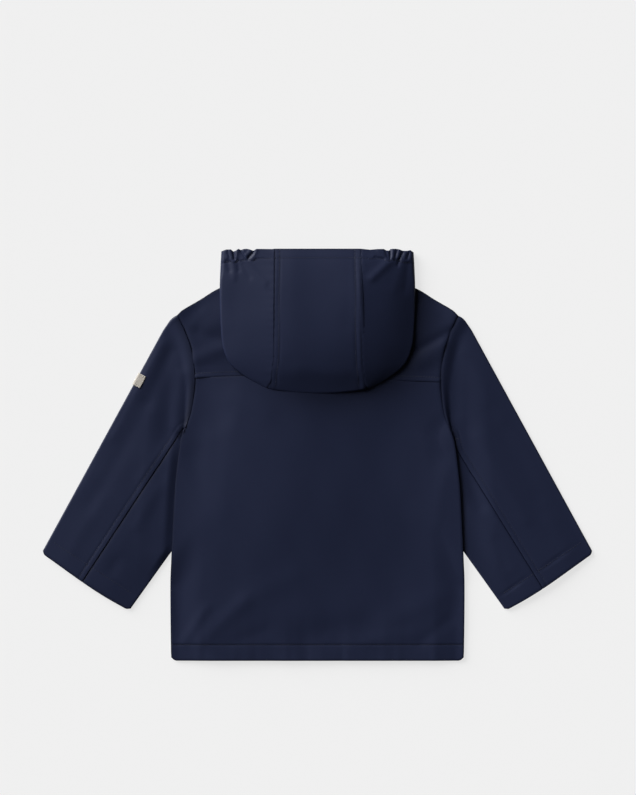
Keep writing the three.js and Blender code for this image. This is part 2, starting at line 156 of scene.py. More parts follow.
def distanceTo(line, x, y):
    # how far points are from a line, and how far along it the nearest place lies
    best = np.full(np.shape(x), 1e9)
    place = np.zeros(np.shape(x))
    walked = 0.0
    for (ax, ay), (bx, by) in zip(line[:-1], line[1:]):
        dx, dy = bx - ax, by - ay
        length = math.hypot(dx, dy) + 1e-9
        t = np.clip(((x - ax) * dx + (y - ay) * dy) / length**2, 0, 1)
        d = np.hypot(x - ax - t * dx, y - ay - t * dy)
        place = np.where(d < best, walked + t * length, place)
        best = np.minimum(best, d)
        walked += length
    return best, place


shoulderLine = smoothLine(body["shoulder"], 60)
armholeLine = smoothLine(body["armhole"], 160)
sideLine = smoothLine(body["side"], 240)
armBelow = armholeLine[armholeLine[:, 1] <= body["seamY"] + 0.5]
armAbove = armholeLine[armholeLine[:, 1] >= body["seamY"] - 0.5]
bodyEdge = np.concatenate([armBelow, sideLine[::-1]])
lobeLine = smoothLine(sleeveCut["lobe"], 200)


def halfWidth(y):
    inset = 0.3 * ease(y, 20, 26) + 0.9 * np.exp(-(((y - 21.9) / 9) ** 2))
    return readAt(bodyEdge, y) - inset


def lobe(x, y):
    edge = readAt(lobeLine, y)
    return ease(np.abs(x), edge - body["lobeReach"], edge - 0.5)


def frontRise(x, y):
    return body["lobeLift"] * lobe(x, y)


def backRise(x, y):
    across = np.abs(x)
    side = readAt(sideLine[::-1], y) - across
    fromSide = np.where(y < 21.9, side, np.hypot(157.7 - across, y - 21.9))
    fromShoulder = distanceTo(shoulderLine[::6], across, y)[0]
    crown = ease(np.minimum(fromSide, fromShoulder), 0, body["crownReach"])
    over = lobe(x, y)
    return cloth["wall"] + cloth["gap"] + body["lobeLift"] * over + body["crown"] * crown * (1 - over)


# Each fold: where it starts and ends, how wide it is, and how high; below zero it is a hollow.
def folded(x, y, folds):
    total = np.zeros(np.shape(x))
    for x0, y0, x1, y1, width, height in folds:
        away, place = distanceTo([(x0, y0), (x1, y1)], x, y)
        total = total + height * np.exp(-((away / width) ** 2))
    return total


# Slow uneven waves that keep any flat stretch of cloth from lying dead flat.
def lie(x, y, seed, height=0.5):
    rng = np.random.RandomState(seed)
    total = np.zeros(np.shape(x))
    for wave in (150, 95, 62, 41):
        turn, phase = rng.uniform(0, math.pi), rng.uniform(0, 2 * math.pi)
        total = total + wave / 150 * np.sin(2 * math.pi * (x * math.cos(turn) + y * math.sin(turn)) / wave + phase)
    return height * total


# A turned and stitched band: `away` runs from the seam or edge into the cloth.
def band(away, width, height=0.55, dip=0.45):
    raised = height * ease(width + 1.6 - away, 0, 2.2)
    return raised - dip * np.exp(-(((away - width) / 0.9) ** 2))


# ---- cloth as a mesh ----

def facing(grid):
    across = np.gradient(grid, axis=1)
    down = np.gradient(grid, axis=0)
    normal = np.cross(across, down)
    normal /= np.linalg.norm(normal, axis=2, keepdims=True) + 1e-12
    return normal


def clothMesh(name, grid, wall=None, up=None):
    # a closed shell round the middle of a cloth: a grid of points, its wall, and edges rolled over half a turn
    grid = np.array(grid, float)
    rows, columns = grid.shape[:2]
    normal = facing(grid)
    if up is not None and normal[up][2] < 0:
        normal = -normal
    half = np.broadcast_to(np.array(cloth["wall"] if wall is None else wall, float), (rows, columns))[..., None] / 2
    loop = ([(0, j) for j in range(columns - 1)] + [(i, columns - 1) for i in range(rows - 1)]
            + [(rows - 1, j) for j in range(columns - 1, 0, -1)] + [(i, 0) for i in range(rows - 1, 0, -1)])
    upper = (grid + normal * half).reshape(-1, 3)
    lower = (grid - normal * half).reshape(-1, 3)
    edge = []
    for i, j in loop:
        inside = grid[min(max(i, 1), rows - 2), min(max(j, 1), columns - 2)]
        out = grid[i, j] - inside
        if i in (0, rows - 1) and j in (0, columns - 1):
            out = out / 1.4
        out -= normal[i, j] * np.dot(out, normal[i, j])
        edge.append(out / (np.linalg.norm(out) + 1e-12))
    edge = np.array(edge)
    loopNormal = np.array([normal[i, j] for i, j in loop])
    loopHalf = np.array([half[i, j] for i, j in loop])
    loopPlace = np.array([grid[i, j] for i, j in loop])
    rings = []
    for k in range(1, cloth["rimSteps"]):
        turn = math.pi * k / cloth["rimSteps"]
        rings.append(loopPlace + loopHalf * (loopNormal * math.cos(turn) + edge * math.sin(turn)))
    points = np.concatenate([upper, lower] + rings) * mm
    count = rows * columns
    index = np.arange(count).reshape(rows, columns)
    quads = np.stack([index[:-1, :-1], index[:-1, 1:], index[1:, 1:], index[1:, :-1]], axis=-1).reshape(-1, 4)
    faces = [quads, quads[:, ::-1] + count]
    ringStart = 2 * count
    belts = [np.array([index[i, j] for i, j in loop])]
    belts += [ringStart + k * len(loop) + np.arange(len(loop)) for k in range(len(rings))]
    belts += [belts[0] + count]
    for one, two in zip(belts[:-1], belts[1:]):
        faces.append(np.stack([one, two, np.roll(two, -1), np.roll(one, -1)], axis=1))
    piece = meshFrom(name, points, np.concatenate(faces))
    # painted shade along its edges: full on the rolled rim, part on the row beside it
    shade = np.zeros(len(points))
    shade[belts[0]] = cloth["paintedShade"]
    shade[ringStart:] = 1
    piece.data.attributes.new("shade", "FLOAT", "POINT").data.foreach_set("value", shade)
    return piece


def darken(piece, amount):
    # painted shade on part of a cloth, by place
    mesh = piece.data
    place = np.empty(len(mesh.vertices) * 3)
    mesh.vertices.foreach_get("co", place)
    x, y = place.reshape(-1, 3)[:, :2].T / mm
    shade = np.empty(len(x))
    mesh.attributes["shade"].data.foreach_get("value", shade)
    mesh.attributes["shade"].data.foreach_set("value", np.maximum(shade, amount(x, y)))


def nearHood(x, y):
    # painted shadow of the hood on the cloth close to it, strongest to its right
    low, side = hood["crownY"]
    reach = hoodOutline[-1][0] * np.linspace(1, 0, 12)[1:]
    crown = np.stack([reach, low + (side - low) * (reach / hoodOutline[-1][0]) ** 2], axis=-1)
    away = distanceTo(np.concatenate([hoodOutline, crown]), np.abs(x), y)[0]
    strength = 0.1 + 0.45 * ease(x, -75, 10) + 0.12 * ease(x, 60, 105)
    return strength * np.exp(-((away / 24) ** 1.4))


def nearArmhole(x, y):
    # painted shade along the armhole seam, stronger low on the left
    away = distanceTo(armholeLine, np.abs(x), y)[0]
    strength = 0.3 + 0.3 * ease(-x, 0, 20) * ease(-y, -105, -75)
    return strength * np.exp(-((away / 5) ** 2))


def nearHoodSeam(x, y):
    # painted shade in the hood's seams and along their stitch lines, none below the crown fold
    away = np.abs(np.where(x > 0, seamX(y, 1), seamX(y, -1)) - np.abs(x))
    line = 0.5 * np.exp(-((away / 1.1) ** 2)) + 0.3 * np.exp(-(((away - hood["topstitch"]) / 0.9) ** 2))
    return line * ease(y, hood["crownY"][0], hood["crownY"][0] + 6)


def meshFrom(name, points, faces):
    mesh = bpy.data.meshes.new(name)
    mesh.from_pydata([tuple(p) for p in points], [], [tuple(int(v) for v in f) for f in faces])
    mesh.validate()
    mesh.update()
    turnOutward(mesh)
    mesh.polygons.foreach_set("use_smooth", [True] * len(mesh.polygons))
    piece = bpy.data.objects.new(name, mesh)
    bpy.context.scene.collection.objects.link(piece)
    return piece


def turnOutward(mesh):
    mesh.calc_loop_triangles()
    corners = np.array([[mesh.vertices[v].co[:] for v in t.vertices] for t in mesh.loop_triangles])
    volume = np.einsum("ij,ij->i", corners[:, 0], np.cross(corners[:, 1], corners[:, 2])).sum()
    if volume < 0:
        mesh.flip_normals()


def place(piece, node, slot, finish):
    piece.data.materials.append(finish)
    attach(piece, "root")
    if node:
        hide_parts(node)
    return piece


def flatArea(piece):
    # half the surface of a thin closed shell, in square metres
    return sum(p.area for p in piece.data.polygons) / 2


# Short stitches along lines drawn on the cloth below them.
stitchCut = {"length": 2.3, "pitch": 3.15, "radius": 0.24, "sunk": 0.08, "sides": 6}


def stitches(name, lines, onto, finish, slot):
    below = []
    for piece in onto:
        below.append(BVHTree.FromPolygons([v.co for v in piece.data.vertices],
                                          [p.vertices[:] for p in piece.data.polygons]))
    points, faces = [], []
    for line in lines:
        line = np.array(line, float)
        length = np.linalg.norm(np.diff(line, axis=0), axis=1).sum()
        count = max(int(length / stitchCut["pitch"]), 2)
        ends = evenly(line, 2 * count + 1)
        for k in range(count):
            start = ends[2 * k]
            toward = ends[2 * k + 1] - start
            toward /= np.linalg.norm(toward) + 1e-9
            addStitch(points, faces, below, start, start + toward * stitchCut["length"])
    return place(meshFrom(name, np.array(points), faces), None, slot, finish)


def dropOnto(below, x, y):
    best = None
    for tree in below:
        hit, normal, _, _ = tree.ray_cast(Vector((x * mm, y * mm, 0.08)), Vector((0, 0, -1)))
        if hit is not None and (best is None or hit.z > best[0].z):
            best = (hit, normal)
    return best


def addStitch(points, faces, below, start, end):
    first, last = dropOnto(below, *start), dropOnto(below, *end)
    if first is None or last is None:
        return
    radius, sides = stitchCut["radius"] * mm, stitchCut["sides"]
    one, two = first[0], last[0]
    run = (two - one).normalized()
    up = (first[1] + last[1]).normalized()
    side = run.cross(up).normalized()
    base = len(points)
    # rings along the thread: the ends go down into the cloth
    for share, swell, sink in ((0, 0.5, 1.6), (0.16, 1, 0.5), (0.5, 1.1, 0), (0.84, 1, 0.5), (1, 0.5, 1.6)):
        centre = one.lerp(two, share) + up * (radius * (0.7 - sink) - stitchCut["sunk"] * mm)
        for s in range(sides):
            turn = 2 * math.pi * s / sides
            points.append(centre + (side * math.cos(turn) + up * math.sin(turn)) * radius * swell)
    for ring in range(4):
        for s in range(sides):
            a, b = base + ring * sides + s, base + ring * sides + (s + 1) % sides
            faces.append((a, b, b + sides, a + sides))
    faces.append(tuple(base + s for s in range(sides))[::-1])
    faces.append(tuple(base + 4 * sides + s for s in range(sides)))


# ---- finishes ----

class Wire:
    # a socket in a material; sums on it add Math nodes
    def __init__(self, shader, socket):
        self.shader, self.socket = shader, socket

    def math(self, operation, first, second=None):
        values = {0: first} if second is None else {0: first, 1: second}
        return self.shader.add("ShaderNodeMath", {"operation": operation}, values)["Value"]

    def __add__(self, other):
        return self.math("ADD", self, other)

    def __radd__(self, other):
        return self.math("ADD", other, self)

    def __sub__(self, other):
        return self.math("SUBTRACT", self, other)

    def __rsub__(self, other):
        return self.math("SUBTRACT", other, self)

    def __mul__(self, other):
        return self.math("MULTIPLY", self, other)

    def __rmul__(self, other):
        return self.math("MULTIPLY", other, self)

    def __truediv__(self, other):
        return self.math("DIVIDE", self, other)

    def __pow__(self, other):
        return self.math("POWER", self, other)


class Shader:
    def __init__(self, name):
        self.material = bpy.data.materials.new(name)
        self.material.use_nodes = True
        self.tree = self.material.node_tree
        self.tree.nodes.clear()

    def add(self, kind, settings=None, inputs=None):
        # one node: its settings first, then the values or wires of its sockets
        node = self.tree.nodes.new(kind)
        for key, value in (settings or {}).items():
            if key == "stops":
                ramp = node.color_ramp
                while len(ramp.elements) > len(value):
                    ramp.elements.remove(ramp.elements[-1])
                while len(ramp.elements) < len(value):
                    ramp.elements.new(1)
                for stop, (at, colour) in zip(ramp.elements, value):
                    stop.position, stop.color = at, colour
            else:
                setattr(node, key, value)
        for key, value in (inputs or {}).items():
            if isinstance(value, Wire):
                self.tree.links.new(value.socket, node.inputs[key])
            else:
                node.inputs[key].default_value = value
        return {out.name: Wire(self, out) for out in node.outputs if out.enabled}

    def place(self):
        return self.add("ShaderNodeTexCoord")["Object"]

    def noise(self, scale, detail=2.0, rough=0.5, where=None):
        inputs = {"Scale": scale, "Detail": detail, "Roughness": rough, "Vector": where or self.place()}
        return self.add("ShaderNodeTexNoise", None, inputs)["Fac"]

    def blend(self, factor, first, second):
        # sockets 0, 6 and 7 of a Mix node are its factor and its two colours, and output 2 its colour
        return self.add("ShaderNodeMix", {"data_type": "RGBA"}, {0: factor, 6: first, 7: second})["Result"]

    def finish(self, inputs):
        surface = self.add("ShaderNodeBsdfPrincipled", None, inputs)["BSDF"]
        self.add("ShaderNodeOutputMaterial", None, {"Surface": surface})
        return self.material


coating = {
    "navy": (0.0108, 0.0146, 0.0365, 1),
    "lighter": (0.0124, 0.0166, 0.0405, 1),
    # the near black of the painted shade
    "paintedShade": (0.0012, 0.0016, 0.004, 1),
    "roughness": (0.40, 0.52),
    "grain": 1150,        # per metre: the fine grain of the coated face
    "pebble": 260,
    "grainDepth": 0.00006,
}


def coatedCloth(name, tone=1.0):
    shader = Shader(name)
    where = shader.place()
    mottle = shader.noise(14, 3, 0.6, where)
    rubbed = shader.noise(75, 4, 0.7, where)
    grain = shader.noise(coating["grain"], 2, 0.5, where)
    pebble = shader.noise(coating["pebble"], 3, 0.6, where)
    dark = tuple(v * tone for v in coating["navy"][:3]) + (1,)
    light = tuple(v * tone for v in coating["lighter"][:3]) + (1,)
    # the shade attribute says where shade is painted on the cloth
    shade = shader.add("ShaderNodeAttribute", {"attribute_name": "shade"})["Fac"]
    colour = shader.blend(mottle * 0.7 + rubbed * 0.3, dark, light)
    low, high = coating["roughness"]
    rough = low + (high - low) * (mottle * 0.5 + pebble * 0.5)
    bump = shader.add("ShaderNodeBump", None, {
        "Strength": 0.35, "Distance": coating["grainDepth"], "Height": grain * 0.6 + pebble * 0.8,
    })["Normal"]
    plain = shader.add("ShaderNodeBsdfPrincipled", None, {
        "Base Color": colour, "Roughness": rough, "Normal": bump, "Specular IOR Level": 0.14,
    })["BSDF"]
    # painted shade: a near-black, nearly unglossy copy of the cloth, mixed in by the shade attribute
    paintedShade = shader.add("ShaderNodeBsdfPrincipled", None, {
        "Base Color": coating["paintedShade"], "Roughness": 0.7, "Normal": bump, "Specular IOR Level": 0.03,
    })["BSDF"]
    surface = shader.add("ShaderNodeMixShader", None, {0: shade, 1: plain, 2: paintedShade})["Shader"]
    shader.add("ShaderNodeOutputMaterial", None, {"Surface": surface})
    return shader.material


def thread(name):
    shader = Shader(name)
    twist = shader.noise(2600, 2, 0.6)
    colour = shader.blend(twist, (0.006, 0.008, 0.019, 1), (0.013, 0.017, 0.036, 1))
    return shader.finish({"Base Color": colour, "Roughness": 0.55 + twist * 0.2, "Specular IOR Level": 0.35})


def wovenTape(name):
    shader = Shader(name)
    where = shader.place()
    ribs = {"wave_type": "BANDS", "bands_direction": "X", "wave_profile": "SIN"}
    warp = shader.add("ShaderNodeTexWave", ribs, {"Vector": where, "Scale": 480, "Distortion": 0.6})["Fac"]
    weft = shader.add("ShaderNodeTexWave", {**ribs, "bands_direction": "Y"},
                      {"Vector": where, "Scale": 620, "Distortion": 0.6})["Fac"]
    yarn = warp * weft
    fuzz = shader.noise(900, 3, 0.6, where)
    colour = shader.blend(yarn * 0.6 + fuzz * 0.4, (0.28, 0.255, 0.225, 1), (0.60, 0.565, 0.51, 1))
    bump = shader.add("ShaderNodeBump", None, {"Strength": 0.6, "Distance": 0.00012, "Height": yarn})["Normal"]
    return shader.finish({"Base Color": colour, "Roughness": 0.82 + fuzz * 0.1, "Normal": bump,
                          "Sheen Weight": 0.15, "Specular IOR Level": 0.25})


def studPaint(name):
    shader = Shader(name)
    wear = shader.noise(700, 3, 0.6)
    colour = shader.blend(wear, (0.010, 0.012, 0.025, 1), (0.018, 0.021, 0.040, 1))
    return shader.finish({"Base Color": colour, "Roughness": 0.28 + wear * 0.14, "Metallic": 0.35})


navyCloth = coatedCloth("navyCoatedCloth")
navyThread = thread("navyThread")
labelTape = wovenTape("beigeTape")
studFinish = studPaint("navyStudPaint")
print("finishes ready")


# ---- the body ----

backLook = {
    "hem": 18.6,
    "yokeStitch": 5.8,
    # start x, y, end x, y, width, height
    "folds": [
        (-154, -216, -128, -176, 6, 0.9),
        (-133, -214, -84, -168, 9, 1.1),
        (-84, -168, -30, -140, 14, 0.7),
        (-100, -217, -60, -203, 8, -0.6),
        (-12, -212, 52, -196, 17, -1.3),
        (84, -192, 150, -158, 14, 0.8),
        (60, -214, 108, -206, 9, 0.7),
        (120, -216, 152, -190, 7, -0.7),
        (-132, 78, -112, 44, 13, -0.8),
        (-96, 66, -60, 48, 12, 0.6),
        (144, -20, 138, -80, 9, 0.5),
        (90, 20, 110, -190, 40, -1.4),
    ],
    "yokeFolds": [
        (-136, 141, -106, 130, 8, -1.3),
        (-142, 110, -106, 124, 9, 1.5),
        (-146, 150, -130, 166, 6, 0.4),
        (116, 124, 154, 144, 5, -1.3),
        (116, 108, 146, 128, 9, 1.3),
        (122, 172, 138, 164, 6, 0.4),
    ],
    "bulge": (-42, -15, 100, 150, 6.6),    # the back's middle stands up a little: place, reach across and along, height
}


frontRest = {-1: 1.2, 1: 2.65}   # how high each front lies at the overlap, the left one over the stud caps


def bulge(x, y):
    x0, y0, across, length, height = backLook["bulge"]
    return height * np.exp(-(((x - x0) / across) ** 2) - ((y - y0) / length) ** 2)


def hemWave(x, y, seed):
    near = np.exp(-np.clip(y - body["hemY"], 0, None) / 26)
    return near * (lie(x * 2.1, y * 0.6, seed, 0.32) + lie(x * 4.3, y * 0.8, seed + 1, 0.16))


def seamDip(away, depth=0.5, reach=1.7):
    return -depth * np.exp(-((away / reach) ** 2))


def roundHem(x, y):
    # round corners at the hem
    corner = np.clip(1 - (halfWidth(y) - np.abs(x)) / 6, 0, 1)
    return y + 4 * corner ** 2 * (1 - ease(y, body["hemY"], body["hemY"] + 11))


def seamShift(x):
    # the yoke seam doesn't lie quite level
    return np.interp(x, (-142, -90, 0, 95, 142), (0.3, 2.4, 0.2, -2.7, -4.5))


def bodyGrid(columns, yRows, edge):
    x = columns[None, :] * edge[:, None]
    return x, np.broadcast_to(yRows[:, None], x.shape)


def backPanel():
    count = int((body["seamY"] - body["hemY"]) / cloth["step"])
    stitchY = body["hemY"] + backLook["hem"]
    y = np.linspace(body["hemY"] + 0.5, body["seamY"] + 0.5, count)
    y = y[np.abs(y - stitchY) > 1.5]
    y = np.sort(np.concatenate([y, stitchY + np.array([-1.4, -0.7, 0, 0.7, 1.4])]))
    x, y = bodyGrid(np.linspace(-1, 1, 131), y, halfWidth(y) - 0.45)
    z = backRise(x, y) + 0.5 + 0.6 * folded(x, y, backLook["folds"]) + lie(x, y, 3, 0.22) + hemWave(x, y, 11)
    away = np.minimum(halfWidth(y) - np.abs(x), y - body["hemY"])
    z += bulge(x, y) * ease(away, 0, 60)
    away = halfWidth(y) - np.abs(x)
    z += np.where(y > 21.9, seamDip(away), 0.0)
    z = np.maximum(z, frontRise(x, y) + frontRest[1] * (1 - ease(np.abs(x), 17, 39)) + 1.75)
    z -= 0.35 * np.exp(-(((y - stitchY) / 0.9) ** 2))
    y = y + seamShift(x) * ease(y, body["seamY"] - 90, body["seamY"])
    y = roundHem(x, y)
    piece = clothMesh("backPanel", np.stack([x, y, z], axis=-1), up=(5, 5))
    # painted shade along the hem's stitch line
    darken(piece, lambda px, py: 0.6 * np.exp(-(((py - stitchY) / 0.7) ** 2)))
    return piece


def upperPlace(c, v, x, neckline):
    # between the yoke seam and the shoulder seam or neckline, at share c across and v upward
    edge = along(armAbove[::-1], v)
    corner, tip = armAbove[-1], armAbove[0]
    across = np.abs(c)
    neckShare = 0.42
    onShoulder = along(shoulderLine, (1 - across) / (1 - neckShare))
    onShoulder[..., 0] *= np.sign(c)
    onNeck = neckline(c / neckShare)
    top = np.where((across >= neckShare)[..., None], onShoulder, onNeck)
    bow = edge - (corner + (tip - corner) * v[..., None])
    px = x + (top[..., 0] - x) * v + bow[..., 0] * c
    py = body["seamY"] + (top[..., 1] - body["seamY"]) * v + bow[..., 1] * across
    return px, py


def backYoke():
    neck = smoothLine([(-68.7, 210), (-42, 197.5), (0, body["backNeck"]), (42, 197.5), (68.7, 210)], 120)
    c, v = np.meshgrid(np.linspace(-1, 1, 131), np.linspace(0, 1, 44))
    half = armAbove[-1][0] - 0.75
    x, y = upperPlace(c * 0.998, v, c * half, lambda s: along(neck, (s + 1) / 2))
    y = y + (0.1 + 0.35) * (1 - v) - 0.45 * v
    x = x - np.sign(c) * 0.5 * (np.abs(c) ** 6) * v
    z = backRise(x, y) + 0.5 + 0.7 * folded(x, y, backLook["yokeFolds"]) + lie(x, y, 5, 0.2)
    z += band(y - body["seamY"], backLook["yokeStitch"], 0.12, 0.4) + 0.6 * (1 - ease(y, body["seamY"], body["seamY"] + 16))
    z += seamDip((1 - np.abs(c)) * half * 0.95)
    y = y + seamShift(x) * (1 - ease(y, body["seamY"] + 8, body["seamY"] + 80))
    return clothMesh("backYoke", np.stack([x, y, z], axis=-1), up=(5, 5))


def front(side, rest):
    neck = smoothLine([(68.7, 210), (57.5, 184), (35, 161), (0, body["frontNeck"]),
                       (-body["overlap"], body["frontNeck"] + 1.5)], 120)
    step = cloth["plainStep"]
    yLow = np.linspace(body["hemY"] + 0.5, body["seamY"], int((body["seamY"] - body["hemY"]) / step))
    shares = np.linspace(1, 0, 30)
    inner = -body["overlap"]
    edge = halfWidth(yLow) - 0.5
    x = inner + (edge[:, None] - inner) * shares[None, :]
    y = np.broadcast_to(yLow[:, None], x.shape)
    c, v = np.meshgrid(shares, np.linspace(0, 1, 20)[1:])
    half = armAbove[-1][0] - 0.75
    split = 0.5
    flat = inner + (half - inner) * c
    onShoulder = along(shoulderLine, (1 - c) / (1 - split))
    onNeck = along(neck, (split - c) / split)
    top = np.where((c >= split)[..., None], onShoulder, onNeck)
    bow = along(armAbove[::-1], v) - (armAbove[-1] + (armAbove[0] - armAbove[-1]) * v[..., None])
    x2 = flat + (top[..., 0] - flat) * v + bow[..., 0] * c
    y2 = body["seamY"] + (top[..., 1] - 0.4 - body["seamY"]) * v + bow[..., 1] * c
    x, y = np.concatenate([x, x2]), np.concatenate([y, y2])
    overlap = 1 - ease(x, 17, 39)
    z = frontRise(x, y) + rest * overlap + 0.5
    grid = np.stack([x * side, roundHem(x, y), z], axis=-1)
    return clothMesh("frontLeft" if side < 0 else "frontRight", grid, up=(5, 5))


def studCap(index):
    low, high = boxOf(f"stud_cap_{index}")
    centre = [(a + b) / 2 for a, b in zip(low, high)]
    radius = (high[0] - low[0]) / 2
    profile = [(0, 0.12), (0.35, 0.04), (0.62, 0.0), (0.8, 0.05), (0.86, 0.16), (0.93, 0.1), (1.0, 0.3), (1.0, 0.62),
               (0.9, 0.86), (0.0, 0.88)]
    count = 40
    points = [(centre[0], centre[1], profile[0][1]), (centre[0], centre[1], profile[-1][1])]
    for r, z in profile[1:-1]:
        for s in range(count):
            turn = 2 * math.pi * s / count
            points.append((centre[0] + r * radius * math.cos(turn), centre[1] + r * radius * math.sin(turn), z))
    rings = len(profile) - 2
    faces = []
    for s in range(count):
        n = (s + 1) % count
        faces.append((0, 2 + n, 2 + s))
        for k in range(rings - 1):
            a, b = 2 + k * count + s, 2 + k * count + n
            faces.append((a, b, b + count, a + count))
        last = 2 + (rings - 1) * count
        faces.append((1, last + s, last + n))
    return meshFrom(f"studCap{index}", np.array(points) * mm, faces)


# ---- the sleeves ----

sleeveLook = {
    -1: {
        "folds": [
            (-170, 118, -196, 62, 8, -0.9),
            (-156, 92, -163, 36, 8, 1.2),
            (-196, 58, -262, -60, 9, -0.6),
            (-178, 128, -236, 22, 7, 0.6),
            (-160, 30, -205, -28, 6, 0.4),
            (-168, -10, -182, -110, 24, 3.4),
            (-186, -40, -226, -112, 8, 0.7),
            (-214, -92, -238, -134, 7, -0.6),
            (-250, -52, -284, -110, 9, 0.5),
        ],
    },
    1: {
        "folds": [
            (170, 116, 212, 40, 9, 0.5),
            (161, 136, 159, 50, 8, -0.8),
            (200, 50, 262, -62, 11, -0.6),
            (186, 20, 240, -74, 8, 0.5),
            (164, 2, 188, -58, 8, -1.0),
            (180, -66, 222, -132, 9, 0.7),
            (206, -100, 226, -150, 6, -0.5),
            (262, -60, 290, -112, 9, 0.5),
        ],
    },
}

outerFold = evenly(sleeveCut["outer"], 240)
innerFold = smoothLine(sleeveCut["inner"], 240)


def sleevePlan(a, t):
    start, end = armholeLine[0], armholeLine[-1]
    bow = along(armholeLine, a) - (start + (end - start) * a[..., None])
    outer, inner = along(outerFold, t), along(innerFold, t)
    plan = outer + (inner - outer) * a[..., None] + bow * ((1 - t) ** 4)[..., None]
    return plan + np.array([0.6, 0.0])


def sleeveRise(a, t, plan):
    clear = ease(plan[..., 0] - readAt(sideLine[::-1], plan[..., 1]), 12, 40)
    own = sleeveCut["foldRise"] + sleeveCut["crownRise"] * np.sin(math.pi * a) * clear
    root = sleevePlan(a, np.zeros_like(t))
    near = ease(np.hypot(*np.moveaxis(plan - root, -1, 0)), 0, sleeveCut["start"])
    body0 = backRise(root[..., 0] - 0.9, root[..., 1])
    return body0 + (own - body0) * near


def sleeveSeam(side, rows):
    # where each row of the sleeve crosses the seam, as a share of its width
    line = np.array(sleeveCut["seam"][side], float)
    line = np.concatenate([line, [line[-1] + (line[-1] - line[-2]) * 0.2]])
    share = np.linspace(0.3, 0.985, 900)
    return np.array([share[np.argmin(distanceTo(line, *sleevePlan(share, np.full(900, t)).T)[0])] for t in rows])


def sleeve(side):
    rows = np.concatenate([(0, 0.003, 0.006, 0.009), np.linspace(0.013, 0.12, 13), np.linspace(0.12, 1, 92)[1:]])
    ends = np.ones(1)
    seamShare = sleeveSeam(side, rows)
    seamShare = np.convolve(np.pad(seamShare, 3, mode="edge"), np.ones(7) / 7, mode="valid")
    seamLine = sleevePlan(seamShare, rows)
    cuffLine = sleevePlan(np.linspace(0, 1, 20), np.ones(20))
    pastCuff = (outerFold[-1] - outerFold[-40]) / np.linalg.norm(outerFold[-1] - outerFold[-40]) * 330
    stations = []
    for t, seam in zip(rows, seamShare):
        outer, inner = sleevePlan(0 * ends, t * ends)[0], sleevePlan(ends, t * ends)[0]
        width = np.linalg.norm(inner - outer)
        slit = 0.55 / width
        radii = [float(sleeveRise(v, t * ends, sleevePlan(v, t * ends))[0]) / 2 for v in (0 * ends, ends)]
        turn = np.linspace(0, math.pi, 9)
        bend = [r * (1 - np.sin(turn)) / width for r in radii]
        lift = (1 + np.cos(turn)) / 2
        first = np.linspace(seam - slit, bend[0][0], 52)[:-1]
        last = np.linspace(1 - bend[1][0], seam + slit, 30)[1:]
        flat = np.linspace(bend[0][-1], 1 - bend[1][-1], 26)[1:-1]
        a = np.concatenate([first, bend[0], flat, 1 - bend[1][::-1], last])
        up = np.concatenate([first * 0 + 1, lift, flat * 0, lift[::-1], last * 0 + 1])
        stations.append(np.stack([a, up], axis=-1))
    stations = np.array(stations)
    a, up = stations[..., 0], stations[..., 1]
    t = np.broadcast_to(rows[:, None], a.shape)
    # a cuff's edge bows out a little, and its corners are round
    fromFold = np.minimum(a, 1 - a) * 105
    cuffEnd = 0.004 + 0.007 * np.sin(math.pi * a ** 1.4) - 0.009 * (1 - np.clip(fromFold / 4, 0, 1)) ** 2
    length = t + cuffEnd * ease(t, 0.96, 1)
    plan = sleevePlan(a, np.minimum(length, 1)) + pastCuff * np.clip(length - 1, 0, 1)[..., None]
    rise = sleeveRise(a, t, plan)
    x, y = plan[..., 0], plan[..., 1]
    relief = 0.7 * folded(x * side, y, sleeveLook[side]["folds"]) + lie(x, y, 21 + side, 0.18)
    away = distanceTo(seamLine, x, y)[0]
    outside = a < seamShare[:, None]
    relief += np.where(outside, 0.1 + band(away, sleeveCut["topstitch"], 0.15, 0.4), -0.4 * np.exp(-away / 1.4))
    cuff = distanceTo(cuffLine, x, y)[0]
    relief += band(cuff, sleeveCut["cuffHem"], 0, 0.6)
    quiet = ease(a, 0, 0.05) * ease(1 - a, 0, 0.05)
    tucked = ease(x - readAt(sideLine[::-1], y), -4, 10)
    tucked = np.where(y > 26, 1.0, tucked)
    z = 0.5 + up * (rise + relief * quiet * tucked)
    # the armhole end goes in under the edge of the body
    root = 1 - ease(t, 0.002, 0.012)
    x = x - (sleeveCut["tuck"] if side > 0 else 0.9) * root
    z = z + (-0.7 if side > 0 else 0.15) * root * up
    piece = clothMesh("sleeveLeft" if side < 0 else "sleeveRight", np.stack([x * side, y, z], axis=-1))
    toward = offsetLine(seamLine, sleeveCut["topstitch"])
    if np.mean(distanceTo(outerFold, toward[:, 0], toward[:, 1])[0]) > np.mean(
            distanceTo(outerFold, seamLine[:, 0], seamLine[:, 1])[0]):
        toward = offsetLine(seamLine, -sleeveCut["topstitch"])
    keep = (toward[:, 1] < 20)
    cuffStitch = cuffLine + (outerFold[-12] - outerFold[-1]) / np.linalg.norm(
        outerFold[-12] - outerFold[-1]) * sleeveCut["cuffHem"]
    mirror = np.array([side, 1])
    return piece, [toward[keep] * mirror, cuffStitch[1:-1] * mirror]


def offsetLine(line, distance):
    run = np.gradient(line, axis=0)
    run /= np.linalg.norm(run, axis=1, keepdims=True) + 1e-9
    return line + distance * np.stack([-run[:, 1], run[:, 0]], axis=1)


tab = {"place": 0.277, "width": 14.6, "onTop": 9.2, "wall": 0.8, "room": 0.35, "past": 1.6}


